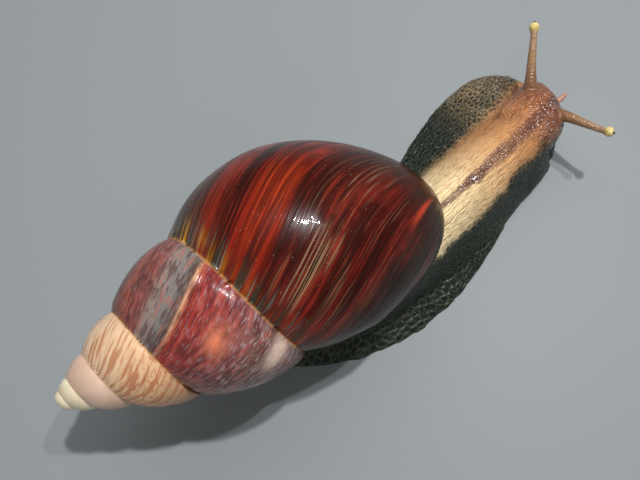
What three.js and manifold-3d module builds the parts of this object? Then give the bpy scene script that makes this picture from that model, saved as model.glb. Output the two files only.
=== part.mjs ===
// Giant African land snail, crawling, at life size in millimetres.
// +X is forward, +Y is the animal's left, +Z is up, and the sole lies on Z = 0.
import * as THREE from 'three';
import { mergeVertices } from 'three/addons/utils/BufferGeometryUtils.js';
import Module from 'manifold-3d';

const wasm = await Module();
wasm.setup();

// ---- driving dimensions ----

const GAP = 0.3;                       // clearance between neighbouring pieces of flesh
const SHELL_CLEARANCE = 0.5;           // and between the flesh and the shell

// Place of the whole animal: the middle of its outline in plan.
const PLAN_CENTRE = new THREE.Vector2(6.35, -8.55);

// Shell: an axis from the apex to the base, with whorls that turn about it.
const APEX = new THREE.Vector3(-89.4, -13.8, 35.0);
const SHELL_LENGTH = 120.8;
const SHELL_HEADING = THREE.MathUtils.degToRad(3.9);   // of the axis, towards the animal's left
const SHELL_DIP = THREE.MathUtils.degToRad(2.0);       // of the base end, below level
const WHORLS = 5.5;
const APEX_RISE = 1.1;                 // of the tip above the first seam
const LIP_ANGLE = 200;                 // degrees from the left side, over the top, to the outer lip
const BODY_RADIUS = 25.8;              // of the last whorl at its lip
const BODY_TIGHTENING = 0.416;         // how the last whorl draws in over one turn
const BODY_WIDEST = 85.1;              // along the axis, at the lip
const BODY_WIDEST_DRIFT = 0.17;        // how that moves over one turn
const BASE_OFFSET_SIDE = 7.3;          // the base ends off the axis, to the right
const BASE_OFFSET_DOWN = 6.0;          // and below it
const BASE_OFFSET_START = 74;
const SPIRE_BEND = 1.2;
const COLUMELLA_RADIUS = 4.0;
const COLUMELLA_START = 100;
const LIP_WALL = 1.8;
const APERTURE_DEPTH = 0.15;           // turns that the hollow runs inside the lip

// Foot: a sole along a curved midline, from the tail tip to the front edge.
const SOLE_MIDLINE = [
  [-52, -11], [-32, -17], [-12, -21], [5, -21.5], [22, -19],
  [38, -12.5], [52, -4.5], [66, 2], [80, 5], [92.5, 6.3],
];
const SOLE_HALF_WIDTH = 20.5;
const TAIL_PART = 0.45;                // of the sole's length, tapering to the tail tip
const FRONT_PART = 0.12;               // of the sole's length, rounding to the front edge
const EDGE_HEIGHT = 2.6;
const BACK_HEIGHT = 6.5;               // of the foot's upper side along its middle

// Neck: an arched back that leaves the shell and carries the head.
const NECK_STATIONS = [
  // x, y, half-width, height
  [-36, -18.6, 3, 6.6], [-27, -19, 7.5, 11], [-18, -19.3, 11, 20], [-9, -19.5, 13, 30],
  [2, -19.5, 14.5, 33], [14, -18.5, 14.5, 32],
  [24, -16.5, 13, 27], [33, -14.4, 12, 23.8], [47, -11.4, 11.4, 23.6], [60, -8.2, 10.8, 22.4],
  [70, -5.6, 10.4, 20.6], [77, -3.6, 9.8, 18.5],
];
const NECK_BOTTOM = 2.5;
const COLUMN_END_X = 27;               // the column under the shell passes into the neck here

// Head: a blunt muzzle on the line of the neck.
const HEAD_BACK = new THREE.Vector3(71.5, -5.0, 11.6);
const HEAD_FRONT = new THREE.Vector3(90.6, 2.4, 8.2);
const HEAD_HALF_WIDTH = 10.4;
const HEAD_HALF_HEIGHT = 8.9;
const HEAD_SKEW = 0.5;                 // how far the left of the muzzle reaches ahead of its right

// Feelers: the upper pair carry the eyes.
const BULB_RADIUS = 1.65;
const EYE_RADIUS = 0.5;
const UPPER_TENTACLES = {
  left: [[80.6, 3.2, 13.5], [82.4, 7.2, 17.6], [85.6, 12.8, 21.2], [88.6, 17.8, 24.4], [90.9, 21.6, 26.6]],
  right: [[83.6, -3.2, 13.0], [85.2, -7.8, 17.4], [87.0, -12.8, 19.8], [88.9, -17.6, 21.8], [90.5, -21.6, 24.2]],
};
const LOWER_TENTACLES = {
  left: [[88.4, 7.2, 4.8], [90.6, 8.8, 3.6], [92.2, 10.0, 3.2], [93.4, 10.8, 3.4]],
  right: [[88.4, 0.4, 6.8], [92.4, 0.6, 6.6], [95.4, 1.0, 6.8], [97.6, 1.4, 7.4]],
};
const MOUTH_LOBES = {
  left: [90.6, 6.4, 4.6],
  right: [90.2, 0.2, 4.6],
};

// Detail of the faceted surfaces.
const COLUMNS_PER_TURN = 28;
const ROWS_PER_WHORL = 5;
const ROWS_OF_BASE = 12;

// ---- materials ----

const material = (color, roughness) => new THREE.MeshStandardMaterial({ color, roughness, metalness: 0 });
const shellMaterial = material('#6b1d16', 0.25);
const footMaterial = material('#323528', 0.45);
const neckMaterial = material('#c79f6e', 0.45);
const headMaterial = material('#a8693f', 0.4);
const tentacleMaterial = material('#7a5a3c', 0.4);
const mantleMaterial = material('#b58e5c', 0.4);
const eyeMaterial = material('#1b1410', 0.15);

// ---- solids ----

const { smoothstep, degToRad, lerp, clamp } = THREE.MathUtils;

function solidFromGeometry(geometry) {
  const bare = geometry.clone();
  for (const name of ['normal', 'uv']) {
    bare.deleteAttribute(name);
  }
  const merged = mergeVertices(bare, 1e-3);
  const index = Array.from(merged.index.array);
  const position = merged.attributes.position;
  const corners = [new THREE.Vector3(), new THREE.Vector3(), new THREE.Vector3()];
  const kept = [];
  let volume = 0;
  for (let i = 0; i < index.length; i += 3) {
    const [a, b, c] = index.slice(i, i + 3);
    if (a === b || b === c || c === a) {
      continue;
    }
    kept.push(a, b, c);
    [a, b, c].forEach((vertex, k) => corners[k].fromBufferAttribute(position, vertex));
    volume += corners[0].dot(corners[1].clone().cross(corners[2]));
  }
  if (volume < 0) {
    kept.reverse();
  }
  return new wasm.Manifold(new wasm.Mesh({
    numProp: 3,
    vertProperties: Float32Array.from(position.array),
    triVerts: Uint32Array.from(kept),
  }));
}

function geometryFromSolid(solid) {
  const mesh = solid.getMesh();
  const geometry = new THREE.BufferGeometry();
  geometry.setAttribute('position', new THREE.BufferAttribute(mesh.vertProperties, 3));
  geometry.setIndex(new THREE.BufferAttribute(mesh.triVerts, 1));
  geometry.computeVertexNormals();
  return geometry;
}

function largestPiece(solid) {
  return solid.decompose().sort((a, b) => b.volume() - a.volume())[0];
}

// Collects triangles between point rows.
class Surface {
  constructor() {
    this.points = [];
  }

  triangle(a, b, c) {
    this.points.push(a, b, c);
  }

  quad(a, b, c, d) {
    this.triangle(a, b, c);
    this.triangle(a, c, d);
  }

  // Joins two rows that run the same way and may differ in count.
  ladder(left, right) {
    let i = 0;
    let j = 0;
    while (i < left.length - 1 || j < right.length - 1) {
      const nextLeft = (i + 1) / (left.length - 1);
      const nextRight = (j + 1) / (right.length - 1);
      if (j === right.length - 1 || (i < left.length - 1 && nextLeft <= nextRight)) {
        this.triangle(left[i], left[i + 1], right[j]);
        i += 1;
      } else {
        this.triangle(left[i], right[j + 1], right[j]);
        j += 1;
      }
    }
  }

  solid() {
    return solidFromGeometry(new THREE.BufferGeometry().setFromPoints(this.points));
  }
}

// A closed solid through rings of points, each ring with the same count.
function loft(rings) {
  const surface = new Surface();
  const count = rings[0].length;
  for (let r = 0; r < rings.length - 1; r += 1) {
    for (let k = 0; k < count; k += 1) {
      const next = (k + 1) % count;
      surface.quad(rings[r][k], rings[r][next], rings[r + 1][next], rings[r + 1][k]);
    }
  }
  for (const [ring, flip] of [[rings[0], true], [rings[rings.length - 1], false]]) {
    const middle = ring.reduce((sum, p) => sum.add(p), new THREE.Vector3()).divideScalar(count);
    for (let k = 0; k < count; k += 1) {
      const next = (k + 1) % count;
      surface.triangle(middle, ring[flip ? next : k], ring[flip ? k : next]);
    }
  }
  return surface.solid();
}

// A round tube along a curve whose radius changes from end to end.
function taperedTube(path, radiusAt, steps, sides) {
  const curve = new THREE.CatmullRomCurve3(path.map((p) => new THREE.Vector3(...p)));
  const frames = curve.computeFrenetFrames(steps, false);
  const rings = [];
  for (let i = 0; i <= steps; i += 1) {
    const centre = curve.getPointAt(i / steps);
    const radius = radiusAt(i / steps);
    rings.push(Array.from({ length: sides }, (_, k) => {
      const turn = (k / sides) * 2 * Math.PI;
      return centre.clone()
        .addScaledVector(frames.normals[i], radius * Math.cos(turn))
        .addScaledVector(frames.binormals[i], radius * Math.sin(turn));
    }));
  }
  return loft(rings);
}

function block(minimum, maximum) {
  const size = new THREE.Vector3(...maximum).sub(new THREE.Vector3(...minimum));
  const box = new THREE.BoxGeometry(size.x, size.y, size.z);
  box.translate(minimum[0] + size.x / 2, minimum[1] + size.y / 2, minimum[2] + size.z / 2);
  return solidFromGeometry(box);
}

// ---- shell ----

const shellAlong = new THREE.Vector3(
  Math.cos(SHELL_DIP) * Math.cos(SHELL_HEADING),
  Math.cos(SHELL_DIP) * Math.sin(SHELL_HEADING),
  -Math.sin(SHELL_DIP),
);
const shellLeft = new THREE.Vector3(-Math.sin(SHELL_HEADING), Math.cos(SHELL_HEADING), 0);
const shellUp = shellAlong.clone().cross(shellLeft);

// The seam between whorls, this many turns back from the lip.
function suture(turnsBack) {
  const back = Math.max(turnsBack, 0);
  const body = Math.min(turnsBack, 1);
  const drawnIn = 1 - 0.2825 * Math.exp(-4 * back);
  const atBody = SHELL_LENGTH * 0.2457 * Math.exp(-0.4715 * body - 0.0844 * body * Math.min(back, 1)) * drawnIn;
  return {
    along: SHELL_LENGTH * (0.5255 * Math.exp(-0.6289 * turnsBack) + 0.0295),
    radius: atBody * Math.exp(-0.53 * Math.max(turnsBack - 1, 0)),
  };
}

// A whorl's outline between its two seams, at a fraction of the way across.
function whorlRadius(turnsBack, fraction) {
  const upper = suture(turnsBack);
  const lower = suture(turnsBack - 1);
  const chord = Math.hypot(lower.radius - upper.radius, lower.along - upper.along);
  const younger = 1 - smoothstep(turnsBack, 1.5, 2.2);
  const fullness = 0.03 + 0.025 * (1 + Math.cos(2 * Math.PI * (turnsBack - 0.05))) * younger;
  const swell = fullness * chord * Math.max(0, Math.sin(Math.PI * fraction)) ** 0.45;
  return lerp(upper.radius, lower.radius, Math.sin((Math.PI / 2) * fraction) ** 0.8) + swell;
}

// The wall inside the aperture: the whorl before, drawing in to the columella.
function innerRadius(turnsBack, along) {
  const upper = suture(turnsBack + 1);
  const lower = suture(turnsBack);
  const fraction = clamp((along - upper.along) / (lower.along - upper.along), 0, 1);
  const drawIn = smoothstep(along, lower.along, COLUMELLA_START);
  return lerp(whorlRadius(turnsBack + 1, fraction), COLUMELLA_RADIUS, drawIn);
}

// The last whorl's outline: from its seam out to its widest and round to the base.
function outerRadius(turnsBack, along) {
  const seam = suture(turnsBack);
  const widest = BODY_WIDEST * Math.exp(-BODY_WIDEST_DRIFT * turnsBack);
  const radius = BODY_RADIUS * Math.exp(BODY_TIGHTENING * turnsBack);
  if (along < widest) {
    return radius - (radius - seam.radius) * ((widest - along) / (widest - seam.along)) ** 2.69;
  }
  const fullness = lerp(1.115, 2.21, smoothstep(turnsBack, 0.15, 0.5));
  const reach = clamp((along - widest) / (SHELL_LENGTH - widest), 0, 1);
  return radius * Math.sqrt(1 - reach ** fullness);
}

function bodyRadius(turnsBack, along) {
  const outer = outerRadius(turnsBack, along);
  const inner = Math.min(innerRadius(turnsBack - 1, along), outer);
  return lerp(outer, inner, smoothstep(turnsBack, 0.48, 0.88));
}

function shellPoint(turnsBack, along, radius) {
  const angle = degToRad(LIP_ANGLE - 360 * turnsBack);
  const bend = SPIRE_BEND * Math.sin(Math.PI * (along / SHELL_LENGTH)) ** 2;
  const towardsBase = smoothstep(along, BASE_OFFSET_START, SHELL_LENGTH);
  return APEX.clone()
    .addScaledVector(shellAlong, along)
    .addScaledVector(shellLeft, radius * Math.cos(angle) - BASE_OFFSET_SIDE * towardsBase - bend)
    .addScaledVector(shellUp, radius * Math.sin(angle) - BASE_OFFSET_DOWN * towardsBase);
}

// Points down one whorl, from its upper seam to its lower one.
function spireRow(turnsBack, extra) {
  const upper = suture(turnsBack);
  const lower = suture(turnsBack - 1);
  return Array.from({ length: ROWS_PER_WHORL + 1 }, (_, row) => {
    const fraction = row / ROWS_PER_WHORL;
    const along = lerp(upper.along, lower.along, fraction);
    return shellPoint(turnsBack, along, whorlRadius(turnsBack, fraction) + extra);
  });
}

// Points down the last whorl, from its seam to the base. The clearance also moves the lip's face on.
function bodyRow(turnsBack, extra) {
  const start = suture(turnsBack).along;
  const middle = lerp(BODY_WIDEST + 2, suture(0).along, turnsBack);
  const row = [];
  for (let k = 0; k <= ROWS_PER_WHORL; k += 1) {
    row.push(lerp(start, middle, k / ROWS_PER_WHORL));
  }
  for (let k = 1; k <= ROWS_OF_BASE; k += 1) {
    row.push(lerp(middle, SHELL_LENGTH, Math.sin((k / ROWS_OF_BASE) * (Math.PI / 2))));
  }
  return row.map((along, k) => {
    const atBase = k === row.length - 1;
    const radius = atBase ? 0 : bodyRadius(turnsBack, along) + extra;
    const place = turnsBack === 0 && k > 0 ? -0.03 * extra : turnsBack;
    const towardsBase = Math.max(0, k - ROWS_PER_WHORL) / ROWS_OF_BASE;
    return shellPoint(place, along + extra * towardsBase ** 2, radius);
  });
}

// The shell's outside as a closed solid, grown by a clearance if one is wanted.
function shellOutside(extra = 0) {
  const surface = new Surface();
  const spireColumns = Math.round((WHORLS - 1) * COLUMNS_PER_TURN);
  const rows = [];
  for (let column = 0; column <= spireColumns; column += 1) {
    rows.push(spireRow(WHORLS - column / COLUMNS_PER_TURN, extra));
  }
  for (let column = 0; column < spireColumns; column += 1) {
    for (let k = 0; k < ROWS_PER_WHORL; k += 1) {
      surface.quad(rows[column][k], rows[column + 1][k], rows[column + 1][k + 1], rows[column][k + 1]);
    }
  }
  const apex = shellPoint(WHORLS, suture(WHORLS).along - APEX_RISE - extra, 0);
  for (let column = 0; column < COLUMNS_PER_TURN; column += 1) {
    surface.triangle(apex, rows[column + 1][0], rows[column][0]);
  }
  for (let k = 0; k < ROWS_PER_WHORL; k += 1) {
    surface.triangle(apex, rows[0][k], rows[0][k + 1]);
  }
  const body = [];
  for (let column = 0; column <= COLUMNS_PER_TURN; column += 1) {
    body.push(bodyRow(1 - column / COLUMNS_PER_TURN, extra));
  }
  for (let column = 0; column < COLUMNS_PER_TURN; column += 1) {
    for (let k = 0; k < body[0].length - 1; k += 1) {
      surface.quad(body[column][k], body[column + 1][k], body[column + 1][k + 1], body[column][k + 1]);
    }
  }
  surface.ladder(body[0].slice(ROWS_PER_WHORL), body[COLUMNS_PER_TURN]);
  return surface.solid();
}

// The hollow that opens at the aperture, drawn in by the lip's wall.
function aperture(inset) {
  const samples = 10;
  const surface = new Surface();
  const sections = [];
  for (let step = 0; step <= 6; step += 1) {
    const turnsBack = lerp(-0.03, APERTURE_DEPTH - 0.04 * inset, step / 6);
    const inside = Math.max(turnsBack, 0);
    const from = suture(inside).along + 5 + inset;
    const to = SHELL_LENGTH - 4 - inset;
    const outer = [];
    const inner = [];
    for (let k = 0; k <= samples; k += 1) {
      const along = lerp(from, to, k / samples);
      const outerWall = outerRadius(inside, along) - LIP_WALL - inset;
      const innerWall = innerRadius(inside, along) + 0.4 + inset;
      outer.push(shellPoint(turnsBack, along, Math.max(outerWall, innerWall + 0.2)));
      inner.push(shellPoint(turnsBack, along, innerWall));
    }
    sections.push([...outer, ...inner.reverse()]);
  }
  const count = sections[0].length;
  for (let s = 0; s < sections.length - 1; s += 1) {
    for (let k = 0; k < count; k += 1) {
      const next = (k + 1) % count;
      surface.quad(sections[s][k], sections[s][next], sections[s + 1][next], sections[s + 1][k]);
    }
  }
  for (const [section, flip] of [[sections[0], true], [sections[sections.length - 1], false]]) {
    for (let k = 0; k < samples; k += 1) {
      const corners = [section[k], section[k + 1], section[count - 2 - k], section[count - 1 - k]];
      surface.quad(...(flip ? corners.reverse() : corners));
    }
  }
  return surface.solid();
}

// ---- foot ----

const soleCurve = new THREE.CatmullRomCurve3(SOLE_MIDLINE.map(([x, y]) => new THREE.Vector3(x, y, 0)));

function soleHalfWidth(station) {
  const tail = Math.sin((Math.PI / 2) * Math.min(1, station / TAIL_PART)) ** 0.9;
  const reach = clamp((station - (1 - FRONT_PART)) / FRONT_PART, 0, 1);
  return SOLE_HALF_WIDTH * tail * Math.sqrt(1 - reach * reach);
}

function footSolid(extra = 0) {
  const stations = 34;
  const across = 7;
  const rings = [];
  for (let s = 0; s <= stations; s += 1) {
    const station = lerp(0.004, 0.998, s / stations);
    const centre = soleCurve.getPointAt(station);
    const tangent = soleCurve.getTangentAt(station);
    const left = new THREE.Vector3(-tangent.y, tangent.x, 0);
    const halfWidth = soleHalfWidth(station) + extra;
    const fade = Math.min(1, halfWidth / 8);
    const edge = EDGE_HEIGHT * lerp(0.45, 1, fade);
    const back = lerp(edge, BACK_HEIGHT, smoothstep(halfWidth, 3, 16));
    const ring = [];
    const put = (side, height) => ring.push(centre.clone().addScaledVector(left, side).setZ(height));
    put(-halfWidth + 0.7 * fade, 0);
    put(-halfWidth, 0.4 * edge);
    for (let k = 0; k <= across; k += 1) {
      const side = lerp(-1, 1, k / across);
      put(side * (halfWidth - 0.6 * fade), edge + (back - edge) * (1 - Math.abs(side) ** 2.2) + extra);
    }
    put(halfWidth, 0.4 * edge);
    put(halfWidth - 0.7 * fade, 0);
    rings.push(ring);
  }
  return loft(rings);
}

// ---- neck and the column that rises into the shell ----

function neckSolid(extra = 0) {
  const path = new THREE.CatmullRomCurve3(NECK_STATIONS.map(([x, y]) => new THREE.Vector3(x, y, 0)));
  const size = new THREE.CatmullRomCurve3(NECK_STATIONS.map(([, , w, h]) => new THREE.Vector3(w, h, 0)));
  const stations = 26;
  const arch = 12;
  const rings = [];
  for (let s = 0; s <= stations; s += 1) {
    const centre = path.getPoint(s / stations);
    const tangent = path.getTangent(s / stations);
    const left = new THREE.Vector3(-tangent.y, tangent.x, 0).normalize();
    const { x: halfWidth, y: height } = size.getPoint(s / stations);
    const ring = [];
    for (let k = 0; k <= arch; k += 1) {
      const turn = Math.PI * (k / arch);
      const side = -(halfWidth + extra) * Math.sign(Math.cos(turn)) * Math.abs(Math.cos(turn)) ** 0.94;
      const rise = (height + extra - NECK_BOTTOM) * Math.sin(turn) ** 0.94;
      ring.push(centre.clone().addScaledVector(left, side).setZ(NECK_BOTTOM + rise));
    }
    rings.push(ring);
  }
  return loft(rings);
}

// ---- head, feelers and mouth ----

const headForward = HEAD_FRONT.clone().sub(HEAD_BACK).setZ(0).normalize();
const headLeft = new THREE.Vector3(-headForward.y, headForward.x, 0);

function headSolid(extra = 0) {
  const steps = 12;
  const sides = 18;
  const rings = [];
  for (let s = 0; s <= steps; s += 1) {
    const reach = s / steps;
    const blunt = Math.sqrt(1 - Math.min(0.999, reach) ** 5);
    const centre = HEAD_BACK.clone().lerp(HEAD_FRONT, reach).addScaledVector(headForward, extra * reach);
    centre.z += 0.9 * Math.sin(Math.PI * reach);
    const halfWidth = HEAD_HALF_WIDTH * blunt + extra;
    const halfHeight = HEAD_HALF_HEIGHT * blunt + extra;
    rings.push(Array.from({ length: sides }, (_, k) => {
      const turn = (k / sides) * 2 * Math.PI;
      const side = halfWidth * Math.sign(Math.cos(turn)) * Math.abs(Math.cos(turn)) ** 0.9;
      return centre.clone()
        .addScaledVector(headForward, HEAD_SKEW * side * reach * reach)
        .addScaledVector(headLeft, side)
        .add(new THREE.Vector3(0, 0, halfHeight * Math.sin(turn)));
    }));
  }
  return loft(rings);
}

// A stalk that narrows, then swells into the bulb that bears the eye.
function upperTentacleRadius(reach) {
  const stalk = lerp(2.5, 1.15, Math.min(1, reach / 0.8) ** 0.7);
  const bulb = BULB_RADIUS * Math.sqrt(Math.max(0.02, 1 - ((reach - 0.93) / 0.072) ** 2));
  return reach < 0.865 ? stalk : Math.max(bulb, reach < 0.95 ? stalk : 0);
}

function lowerTentacleRadius(reach) {
  return lerp(1.35, 0.85, reach) * Math.sqrt(Math.max(0.04, 1 - reach ** 8));
}

function sphere(centre, radius, segments) {
  const ball = new THREE.SphereGeometry(radius, segments, Math.round(segments * 0.7));
  ball.translate(...centre);
  return solidFromGeometry(ball);
}

function mouthLobe(centre, extra = 0) {
  const lobe = new THREE.SphereGeometry(1, 12, 8);
  lobe.scale(2.6 + extra, 2.2 + extra, 2.4 + extra);
  lobe.rotateZ(Math.atan2(headForward.y, headForward.x));
  lobe.translate(...centre);
  return solidFromGeometry(lobe);
}

// The mantle's thick edge, just inside the outer lip.
function mantleCollar(extra = 0) {
  const path = [];
  for (let k = 0; k <= 8; k += 1) {
    const along = lerp(75, 114.5, k / 8);
    const radius = outerRadius(0, along) - LIP_WALL - 3.0;
    path.push(shellPoint(-0.012, along, Math.max(radius, 3)).toArray());
  }
  const radiusAt = (reach) => 2.4 * Math.max(0.35, Math.sin(Math.PI * reach)) ** 0.35 + extra;
  return taperedTube(path, radiusAt, 20, 10);
}

// ---- assembly ----

const snail = new THREE.Group();
snail.position.set(-PLAN_CENTRE.x, -PLAN_CENTRE.y, 0);

function add(name, solid, finish) {
  const mesh = new THREE.Mesh(geometryFromSolid(solid), finish);
  mesh.name = name;
  snail.add(mesh);
}

const shell = shellOutside().subtract(aperture(0));
const aroundShell = shellOutside(SHELL_CLEARANCE).subtract(aperture(SHELL_CLEARANCE));
add('shell', shell, shellMaterial);

const collar = mantleCollar();
add('mantle_collar', largestPiece(collar.subtract(aroundShell)), mantleMaterial);

const foot = footSolid().subtract(aroundShell);
const footCuts = [-70, -26, 18, 58, 110];
['tail', 'foot_rear', 'foot_middle', 'foot_front'].forEach((name, i) => {
  const slab = block([footCuts[i] + GAP / 2, -60, -5], [footCuts[i + 1] - GAP / 2, 60, 40]);
  add(name, largestPiece(foot.intersect(slab)), footMaterial);
});

const aroundFoot = footSolid(GAP);
const aroundHead = headSolid(GAP);
const stem = neckSolid().subtract(aroundFoot).subtract(aroundShell).subtract(mantleCollar(GAP));
const underShell = block([-80, -60, -5], [COLUMN_END_X - GAP / 2, 60, 60]);
const beyondShell = block([COLUMN_END_X + GAP / 2, -60, -5], [110, 60, 60]);
add('body_column', largestPiece(stem.intersect(underShell)), neckMaterial);
add('neck', largestPiece(stem.intersect(beyondShell).subtract(aroundHead)), neckMaterial);

const head = headSolid().subtract(aroundFoot);
add('head', largestPiece(head), headMaterial);

for (const side of ['left', 'right']) {
  const tip = UPPER_TENTACLES[side].at(-1);
  const beforeTip = UPPER_TENTACLES[side].at(-2);
  const reachOut = new THREE.Vector3(...tip).sub(new THREE.Vector3(...beforeTip)).normalize();
  const eyeCentre = new THREE.Vector3(...tip).addScaledVector(reachOut, -0.3).toArray();
  const stalk = taperedTube(UPPER_TENTACLES[side], upperTentacleRadius, 20, 10);
  const socketed = stalk.subtract(sphere(eyeCentre, EYE_RADIUS + GAP, 9)).subtract(aroundHead);
  add(`upper_tentacle_${side}`, largestPiece(socketed), tentacleMaterial);
  add(`eye_${side}`, sphere(eyeCentre, EYE_RADIUS, 9), eyeMaterial);
}

for (const side of ['left', 'right']) {
  const lobe = mouthLobe(MOUTH_LOBES[side]).subtract(aroundHead).subtract(aroundFoot);
  add(`mouth_lobe_${side}`, largestPiece(lobe), headMaterial);
  const feeler = taperedTube(LOWER_TENTACLES[side], lowerTentacleRadius, 8, 8)
    .subtract(aroundHead)
    .subtract(aroundFoot)
    .subtract(mouthLobe(MOUTH_LOBES[side], 1.5 * GAP));
  add(`lower_tentacle_${side}`, largestPiece(feeler), tentacleMaterial);
}

export default snail;
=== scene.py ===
"""Giant African land snail, crawling on a plain floor.

Lengths are written in millimetres and built in metres.
"""
import math

import bmesh
import bpy
from mathutils import Matrix, Vector, noise


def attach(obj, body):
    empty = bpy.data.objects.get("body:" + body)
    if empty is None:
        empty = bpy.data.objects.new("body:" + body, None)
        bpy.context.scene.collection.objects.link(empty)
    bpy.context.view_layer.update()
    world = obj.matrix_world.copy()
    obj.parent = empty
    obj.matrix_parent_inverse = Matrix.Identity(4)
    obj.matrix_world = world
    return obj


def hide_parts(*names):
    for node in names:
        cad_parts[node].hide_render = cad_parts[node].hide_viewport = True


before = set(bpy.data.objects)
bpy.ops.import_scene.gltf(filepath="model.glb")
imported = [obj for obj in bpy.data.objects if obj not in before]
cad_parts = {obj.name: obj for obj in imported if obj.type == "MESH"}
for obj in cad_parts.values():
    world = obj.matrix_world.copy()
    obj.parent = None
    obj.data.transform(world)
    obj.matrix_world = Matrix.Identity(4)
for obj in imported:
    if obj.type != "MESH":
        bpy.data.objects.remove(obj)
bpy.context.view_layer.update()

MM = 0.001
WELD = 1e-4                                 # corners closer than this are one
PLAN_CENTRE = Vector((6.35, -8.55, 0.0))    # middle of the animal's outline, on the frame's origin


def clamp(value, low=0.0, high=1.0):
    return max(low, min(high, value))


def lerp(a, b, t):
    return a + (b - a) * t


def smoothstep(value, low, high):
    t = clamp((value - low) / (high - low))
    return t * t * (3 - 2 * t)


def curve_point(points, t):
    """A smooth curve through the points, t from 0 to 1."""
    place = clamp(t) * (len(points) - 1)
    i = min(int(place), len(points) - 2)
    f = place - i
    before = points[i - 1] if i > 0 else [2 * a - b for a, b in zip(points[0], points[1])]
    after = points[i + 2] if i + 2 < len(points) else [2 * a - b for a, b in zip(points[-1], points[-2])]
    return [
        0.5 * (2 * b + (c - a) * f + (2 * a - 5 * b + 4 * c - d) * f * f + (3 * b - a - 3 * c + d) * f ** 3)
        for a, b, c, d in zip(before, points[i], points[i + 1], after)
    ]


def curve_heading(points, t):
    a, b = curve_point(points, t - 0.01), curve_point(points, t + 0.01)
    return Vector((b[0] - a[0], b[1] - a[1], 0.0)).normalized()


# ---- mesh helpers ----

def rolled_grid(bm, columns, rows, place, uv_place=None, uv_layer=None):
    """A flat grid bent to a surface: place(u, v) gives each corner its point, u and v from 0 to 1."""
    made = bmesh.ops.create_grid(bm, x_segments=columns, y_segments=rows, size=0.5)["verts"]
    flat = {vert: (round(vert.co.x + 0.5, 6), round(vert.co.y + 0.5, 6)) for vert in made}
    for vert, (u, v) in flat.items():
        vert.co = place(u, v)
    if uv_layer:
        for face in {face for vert in made for face in vert.link_faces}:
            for loop in face.loops:
                loop[uv_layer].uv = uv_place(*flat[loop.vert])
    return made


def finish_piece(name, bm, material):
    """Moves the mesh from plan millimetres to the frame's metres and makes the object."""
    bmesh.ops.translate(bm, verts=bm.verts, vec=-PLAN_CENTRE)
    bmesh.ops.scale(bm, verts=bm.verts, vec=(MM, MM, MM))
    mesh = bpy.data.meshes.new(name)
    bm.to_mesh(mesh)
    bm.free()
    for polygon in mesh.polygons:
        polygon.use_smooth = True
    mesh.materials.append(material)
    piece = bpy.data.objects.new(name, mesh)
    bpy.context.scene.collection.objects.link(piece)
    return piece


# ---- material helpers ----

def hex_colour(code):
    """An sRGB hex colour as linear RGBA."""
    parts = [int(code[i:i + 2], 16) / 255 for i in (1, 3, 5)]
    return tuple(c / 12.92 if c <= 0.04045 else ((c + 0.055) / 1.055) ** 2.4 for c in parts) + (1.0,)


# what each kind of node is made of: its type, its settings, the inputs for its values, and its output or all
NODE_KINDS = {
    "times": ("ShaderNodeMath", {"operation": "MULTIPLY"}, (0, 1), 0),
    "plus": ("ShaderNodeMath", {"operation": "ADD"}, (0, 1), 0),
    "minus": ("ShaderNodeMath", {"operation": "SUBTRACT"}, (0, 1), 0),
    "over": ("ShaderNodeMath", {"operation": "DIVIDE"}, (0, 1), 0),
    "larger": ("ShaderNodeMath", {"operation": "MAXIMUM"}, (0, 1), 0),
    "unsigned": ("ShaderNodeMath", {"operation": "ABSOLUTE"}, (0,), 0),
    # from one value at the low end to another at the high end, eased
    "band": ("ShaderNodeMapRange", {"interpolation_type": "SMOOTHSTEP"}, (0, 1, 2, 3, 4), 0),
    "mix": ("ShaderNodeMix", {"data_type": "RGBA"}, (0, 6, 7), 2),
    "ramp": ("ShaderNodeValToRGB", {}, (0,), 0),
    "point": ("ShaderNodeCombineXYZ", {}, (0, 1, 2), 0),
    "parts": ("ShaderNodeSeparateXYZ", {}, (0,), None),
    "channels": ("ShaderNodeSeparateColor", {}, (0,), None),
    "attribute": ("ShaderNodeAttribute", {}, (), None),
    "uv_map": ("ShaderNodeUVMap", {}, (), 0),
    "here": ("ShaderNodeTexCoord", {}, (), "Object"),
    "noise": ("ShaderNodeTexNoise", {"Scale": 1.0}, ("Vector", "Scale", "Detail", "Roughness"), 0),
    "cells": ("ShaderNodeTexVoronoi", {}, ("Vector", "Scale", "Randomness"), None),
    "bump": ("ShaderNodeBump", {}, ("Height", "Strength", "Distance"), 0),
}


class Shader:
    """A material's node tree, with one short way to add nodes."""

    def __init__(self, name):
        self.material = bpy.data.materials.new(name)
        self.material.use_nodes = True
        self.tree = self.material.node_tree
        self.surface = self.tree.nodes["Principled BSDF"]

    def add(self, kind, *values, stops=(), **settings):
        """Adds a node of this kind: values go to its inputs in order, named ones to the input or setting."""
        type_name, own_settings, places, output = NODE_KINDS[kind]
        node = self.tree.nodes.new(type_name)
        for key, value in {**own_settings, **settings}.items():
            if key in node.inputs:
                self.feed(node.inputs[key], value)
            else:
                setattr(node, key, value)
        for place, value in zip(places, values):
            self.feed(node.inputs[place], value)
        for i, (place, code) in enumerate(stops):
            stop = node.color_ramp.elements[i] if i < 2 else node.color_ramp.elements.new(place)
            stop.position = place
            stop.color = hex_colour(code)
        return node.outputs if output is None else node.outputs[output]

    def feed(self, socket, value):
        if isinstance(value, bpy.types.NodeSocket):
            self.tree.links.new(value, socket)
        else:
            socket.default_value = hex_colour(value) if isinstance(value, str) else value

    def ridge(self, value, centre, half_width):
        """1 at the centre, falling to 0 at the half width on both sides."""
        away = self.add("unsigned", self.add("minus", value, centre))
        return self.add("band", away, 0.0, half_width, 1.0, 0.0)


# ---- shell ----

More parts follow.
